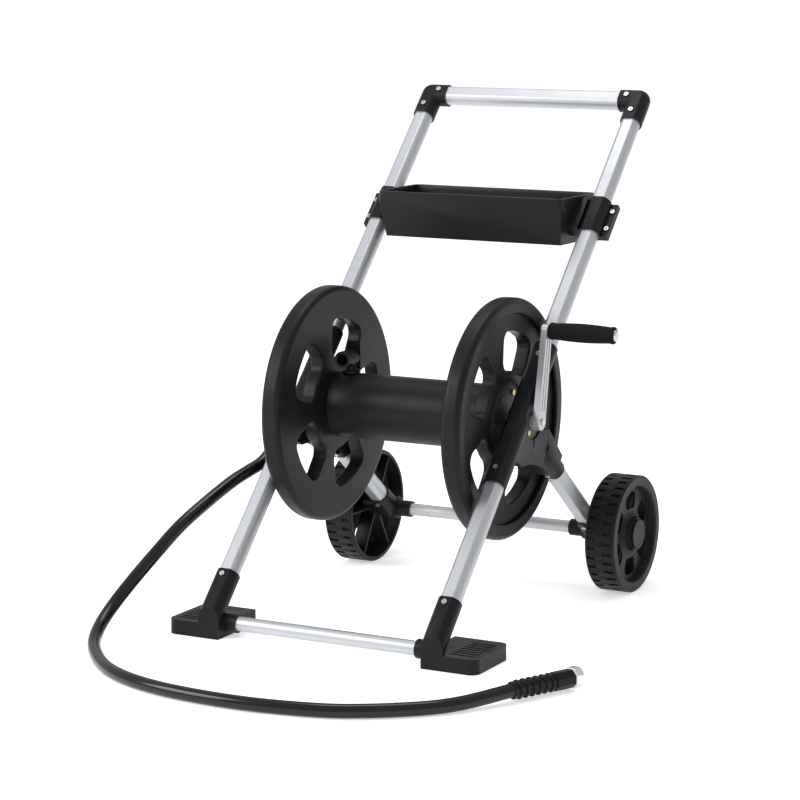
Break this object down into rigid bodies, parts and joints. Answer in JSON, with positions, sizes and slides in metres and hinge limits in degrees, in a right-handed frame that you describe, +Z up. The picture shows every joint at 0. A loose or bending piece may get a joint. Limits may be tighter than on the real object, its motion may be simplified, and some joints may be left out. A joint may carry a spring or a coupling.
{
  "type": "garden hose reel cart",
  "caption": "Two-wheeled garden hose reel cart: leaning silver tube frame with handle bar, tray, open-spoked reel on a crank, front feet and a trailing leader hose with a tap coupling.",
  "frame": {"origin": "floor, under the middle of the cart's box without the loose leader hose", "axes": "+Z up, +X to the crank side, +Y towards the wheels and the handle"},
  "size_m": [0.745, 1.063, 0.7919],
  "materials": {
    "black_plastic": "satin",
    "tray_plastic": "satin",
    "reel_plastic": "satin moulded",
    "wheel_plastic": "satin",
    "silver_aluminium": "matt anodised",
    "steel": "zinc plated",
    "bright_metal": "polished",
    "brass": "plain",
    "nickel": "nickel plated",
    "pale_plastic": "moulded",
    "rubber": "matt",
    "hose": "smooth, slightly glossy"
  },
  "bodies": {
    "frame": {"foot_left": "black_plastic", "foot_right": "black_plastic", "front_crossbar": "silver_aluminium", "lower_tube_left": "silver_aluminium", "lower_tube_right": "silver_aluminium", "upper_tube_left": "silver_aluminium", "upper_tube_right": "silver_aluminium", "handle_bar": "silver_aluminium", "corner_left": "black_plastic", "corner_right": "black_plastic", "side_bracket_left": "black_plastic", "side_bracket_right": "black_plastic", "rear_leg_left": "silver_aluminium", "rear_leg_right": "silver_aluminium", "rear_bracket_left": "black_plastic", "rear_bracket_right": "black_plastic", "rear_crossbar": "silver_aluminium", "wheel_axle": "steel", "axle_washers": "steel", "tray": "tray_plastic", "clamp_plate_left": "black_plastic", "clamp_plate_right": "black_plastic", "clamp_screws": "steel", "corner_screws": "steel", "foot_screws": "steel", "bracket_screws": "steel", "leg_screws": "steel", "bush_left": "pale_plastic", "bush_right": "pale_plastic", "bush_screws": "brass", "inlet_elbow": "black_plastic", "inlet_seals": "rubber", "inlet_sleeve": "rubber", "leader_hose": "hose", "hose_sleeve": "rubber", "coupling_tail": "brass", "coupling_washer": "rubber", "axle_clip_left": "steel", "axle_clip_right": "steel"},
    "wheel_left": {"wheel_left": "wheel_plastic", "wheel_cap_left": "black_plastic"},
    "wheel_right": {"wheel_right": "wheel_plastic", "wheel_cap_right": "black_plastic"},
    "coupling_nut": {"coupling_nut": "nickel"},
    "crank_grip": {"crank_grip": "black_plastic"},
    "reel": {"flange_left": "reel_plastic", "flange_right": "reel_plastic", "drum": "reel_plastic", "flange_screws": "brass", "water_shaft": "steel", "outlet_elbow": "black_plastic", "crank_shaft": "steel", "crank_arm": "silver_aluminium", "crank_screw": "steel", "grip_bolt": "bright_metal"}
  },
  "joints": [
    {"name": "reel_spin", "type": "hinge", "parent": "frame", "child": "reel", "pos_m": [-0.032, -0.06727, 0.31542], "axis": [1, 0, 0], "continuous": true},
    {"name": "crank_grip_spin", "type": "hinge", "parent": "reel", "child": "crank_grip", "pos_m": [0.2398, -0.04331, 0.45133], "axis": [1, 0, 0], "continuous": true},
    {"name": "wheel_left_spin", "type": "hinge", "parent": "frame", "child": "wheel_left", "pos_m": [-0.268, 0.2025, 0.0943], "axis": [1, 0, 0], "continuous": true},
    {"name": "wheel_right_spin", "type": "hinge", "parent": "frame", "child": "wheel_right", "pos_m": [0.204, 0.2025, 0.0943], "axis": [1, 0, 0], "continuous": true},
    {"name": "coupling_nut_spin", "type": "hinge", "parent": "frame", "child": "coupling_nut", "pos_m": [0.37704, -0.36334, 0.0162], "axis": [0.4226, 0.9063, 0], "continuous": true}
  ]
}
